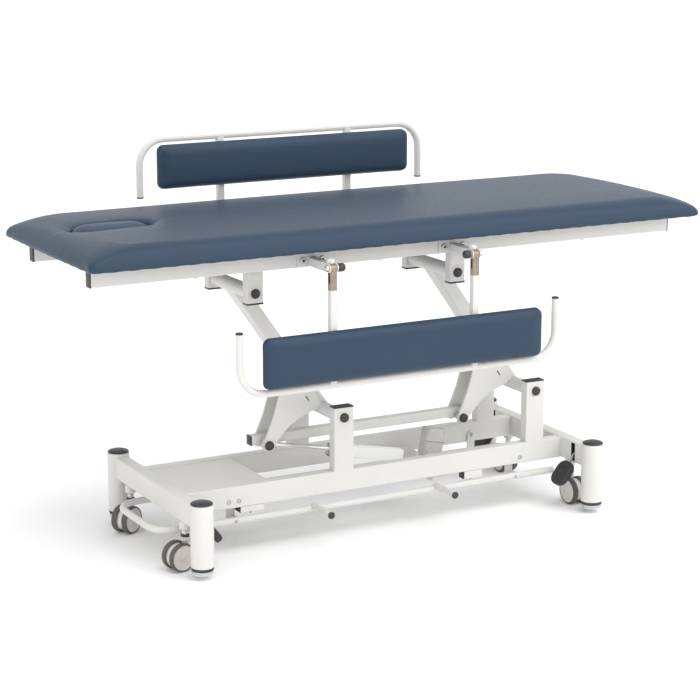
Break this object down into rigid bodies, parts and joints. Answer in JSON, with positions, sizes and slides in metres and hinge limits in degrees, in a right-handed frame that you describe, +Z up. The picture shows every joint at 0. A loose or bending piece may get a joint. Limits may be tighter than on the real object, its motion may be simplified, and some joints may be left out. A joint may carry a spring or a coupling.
{
  "type": "medical exam table",
  "caption": "Height-adjustable treatment table: padded vinyl top with face hole and plug, folding padded side rails, parallel lift arms with actuator, post base on twin castors.",
  "frame": {"origin": "on the floor under the centre of the bounding box, with the castors down", "axes": "+Z up, +X toward the foot end (the face hole is at -X), +Y toward the raised rail"},
  "size_m": [1.93, 0.7444, 1.1193],
  "materials": {
    "paint": "satin",
    "bright_white": "satin",
    "vinyl": "satin",
    "black_plastic": "satin",
    "rubber": "matte",
    "tyre": "matte",
    "castor_body": "satin",
    "steel": "satin",
    "chrome": "polished",
    "clear_foot": "gloss",
    "motor_plastic": "satin"
  },
  "bodies": {
    "base": {"end_beam_head": "paint", "end_beam_foot": "paint", "post_near_head": "paint", "post_far_head": "paint", "post_near_foot": "paint", "post_far_foot": "paint", "base_side_near": "paint", "base_side_far": "paint", "tray": "paint", "actuator_mount": "paint", "castor_stem_near_head": "paint", "castor_stem_far_head": "paint", "castor_stem_near_foot": "paint", "castor_stem_far_foot": "paint"},
    "head_arm": {"lift_arm_head": "paint"},
    "foot_arm": {"lift_arm_foot": "paint"},
    "tie": {"tie_bar": "paint"},
    "actuator_body": {"actuator_tube": "bright_white", "actuator_motor": "motor_plastic"},
    "actuator_piston": {"actuator_rod": "chrome"},
    "top_frame": {"top_rail_near": "paint", "top_rail_far": "paint", "cross_member_head": "paint", "cross_member_foot": "paint", "mattress": "vinyl", "hinge_stub_near_head": "paint", "hinge_stub_near_foot": "paint", "hinge_stub_far_head": "paint", "hinge_stub_far_foot": "paint"},
    "face_insert": {"face_plug": "vinyl"},
    "switch_bar": {"foot_bar": "paint"},
    "rail_pins_near": {"hinge_pin_near_head": "steel", "hinge_pin_near_foot": "steel"},
    "side_rail_near": {"rail_frame_near": "paint", "rail_pad_near": "vinyl"},
    "lock_near_head": {"plunger_near_head": "black_plastic"},
    "lock_near_foot": {"plunger_near_foot": "black_plastic"},
    "rail_pins_far": {"hinge_pin_far_head": "steel", "hinge_pin_far_foot": "steel"},
    "side_rail_far": {"rail_frame_far": "paint", "rail_pad_far": "vinyl"},
    "lock_far_head": {"plunger_far_head": "black_plastic"},
    "lock_far_foot": {"plunger_far_foot": "black_plastic"},
    "pedals_head": {"pedal_near_head": "rubber", "pedal_far_head": "rubber"},
    "feet_head": {"foot_near_head": "clear_foot", "foot_far_head": "clear_foot"},
    "castor_near_head": {"castor_fork_near_head": "castor_body"},
    "wheels_near_head": {"castor_wheels_near_head": "tyre"},
    "castor_far_head": {"castor_fork_far_head": "castor_body"},
    "wheels_far_head": {"castor_wheels_far_head": "tyre"},
    "pedals_foot": {"pedal_near_foot": "rubber", "pedal_far_foot": "rubber"},
    "feet_foot": {"foot_near_foot": "clear_foot", "foot_far_foot": "clear_foot"},
    "castor_near_foot": {"castor_fork_near_foot": "castor_body"},
    "wheels_near_foot": {"castor_wheels_near_foot": "tyre"},
    "castor_far_foot": {"castor_fork_far_foot": "castor_body"},
    "wheels_far_foot": {"castor_wheels_far_foot": "tyre"}
  },
  "joints": [
    {"name": "lift", "type": "hinge", "parent": "base", "child": "head_arm", "pos_m": [-0.1416, 0.01375, 0.3532], "axis": [0, -1, 0], "range_deg": [-4, 58]},
    {"name": "lift_foot", "type": "hinge", "parent": "base", "child": "foot_arm", "pos_m": [0.506, 0.01375, 0.3532], "axis": [0, -1, 0], "range_deg": [-4.5, 58.5]},
    {"name": "top_level", "type": "hinge", "parent": "head_arm", "child": "top_frame", "pos_m": [-0.4102, 0.01375, 0.7348], "axis": [0, -1, 0], "range_deg": [-58.5, 4.5]},
    {"name": "tie_level", "type": "hinge", "parent": "head_arm", "child": "tie", "pos_m": [-0.3213, 0.01375, 0.2659], "axis": [0, -1, 0], "range_deg": [-58.5, 4.5]},
    {"name": "actuator_tilt", "type": "hinge", "parent": "base", "child": "actuator_body", "pos_m": [0.195, 0.01375, 0.16], "axis": [0, -1, 0], "range_deg": [-2, 14]},
    {"name": "piston_tilt", "type": "hinge", "parent": "head_arm", "child": "actuator_piston", "pos_m": [-0.3213, 0.01375, 0.2659], "axis": [0, -1, 0], "range_deg": [-46, 4]},
    {"name": "fold_near", "type": "hinge", "parent": "top_frame", "child": "rail_pins_near", "pos_m": [-0.015, -0.33225, 0.829], "axis": [-1, 0, 0], "range_deg": [0, 180]},
    {"name": "drop_near", "type": "slide", "parent": "rail_pins_near", "child": "side_rail_near", "axis": [0, 0, 1], "range_m": [0, 0.038]},
    {"name": "plunger_near_head", "type": "slide", "parent": "rail_pins_near", "child": "lock_near_head", "axis": [1, 0, 0], "range_m": [0, 0.006], "stiffness_N_per_m": 200},
    {"name": "plunger_near_foot", "type": "slide", "parent": "rail_pins_near", "child": "lock_near_foot", "axis": [-1, 0, 0], "range_m": [0, 0.006], "stiffness_N_per_m": 200},
    {"name": "fold_far", "type": "hinge", "parent": "top_frame", "child": "rail_pins_far", "pos_m": [-0.015, 0.35975, 0.829], "axis": [-1, 0, 0], "range_deg": [0, 180]},
    {"name": "drop_far", "type": "slide", "parent": "rail_pins_far", "child": "side_rail_far", "axis": [0, 0, 1], "range_m": [0, 0.038]},
    {"name": "plunger_far_head", "type": "slide", "parent": "rail_pins_far", "child": "lock_far_head", "axis": [1, 0, 0], "range_m": [0, 0.006], "stiffness_N_per_m": 200},
    {"name": "plunger_far_foot", "type": "slide", "parent": "rail_pins_far", "child": "lock_far_foot", "axis": [-1, 0, 0], "range_m": [0, 0.006], "stiffness_N_per_m": 200},
    {"name": "face_plug_lift", "type": "slide", "parent": "top_frame", "child": "face_insert", "axis": [0, 0, 1], "range_m": [0, 0.08]},
    {"name": "switch_bar_travel", "type": "slide", "parent": "base", "child": "switch_bar", "axis": [0, 0, 1], "range_m": [0, 0.003]},
    {"name": "pedal_head", "type": "hinge", "parent": "base", "child": "pedals_head", "pos_m": [-0.6494, 0.01375, 0.18], "axis": [0, -1, 0], "range_deg": [0, 40]},
    {"name": "feet_head", "type": "slide", "parent": "base", "child": "feet_head", "axis": [0, 0, -1], "range_m": [-0.0002, 0.0139]},
    {"name": "pedal_foot", "type": "hinge", "parent": "base", "child": "pedals_foot", "pos_m": [0.6194, 0.01375, 0.18], "axis": [0, 1, 0], "range_deg": [0, 40]},
    {"name": "feet_foot", "type": "slide", "parent": "base", "child": "feet_foot", "axis": [0, 0, -1], "range_m": [-0.0002, 0.0139]},
    {"name": "swivel_near_head", "type": "hinge", "parent": "base", "child": "castor_near_head", "pos_m": [-0.655, -0.17625, 0.09], "axis": [0, 0, 1], "continuous": true},
    {"name": "roll_near_head", "type": "hinge", "parent": "castor_near_head", "child": "wheels_near_head", "pos_m": [-0.6766, -0.18045, 0.04], "axis": [0.1908, -0.9816, 0], "continuous": true},
    {"name": "swivel_far_head", "type": "hinge", "parent": "base", "child": "castor_far_head", "pos_m": [-0.655, 0.20775, 0.09], "axis": [0, 0, 1], "continuous": true},
    {"name": "roll_far_head", "type": "hinge", "parent": "castor_far_head", "child": "wheels_far_head", "pos_m": [-0.67386, 0.19642, 0.04], "axis": [0.515, -0.8572, 0], "continuous": true},
    {"name": "swivel_near_foot", "type": "hinge", "parent": "base", "child": "castor_near_foot", "pos_m": [0.625, -0.15825, 0.09], "axis": [0, 0, 1], "continuous": true},
    {"name": "roll_near_foot", "type": "hinge", "parent": "castor_near_foot", "child": "wheels_near_foot", "pos_m": [0.625, -0.18025, 0.04], "axis": [1, 0, 0], "continuous": true},
    {"name": "swivel_far_foot", "type": "hinge", "parent": "base", "child": "castor_far_foot", "pos_m": [0.625, 0.18575, 0.09], "axis": [0, 0, 1], "continuous": true},
    {"name": "roll_far_foot", "type": "hinge", "parent": "castor_far_foot", "child": "wheels_far_foot", "pos_m": [0.62577, 0.20774, 0.04], "axis": [-0.9994, 0.0349, 0], "continuous": true}
  ],
  "couplings": [
    {"joint": "lift_foot", "follows": "lift", "ratio": 1},
    {"joint": "top_level", "follows": "lift", "ratio": -1},
    {"joint": "tie_level", "follows": "lift", "ratio": -1},
    {"joint": "actuator_tilt", "follows": "lift", "ratio": 0.2275},
    {"joint": "piston_tilt", "follows": "lift", "ratio": -0.7725},
    {"joint": "feet_head", "follows": "pedal_head", "m_per_rad": 0.0196},
    {"joint": "feet_foot", "follows": "pedal_foot", "m_per_rad": 0.0196}
  ]
}
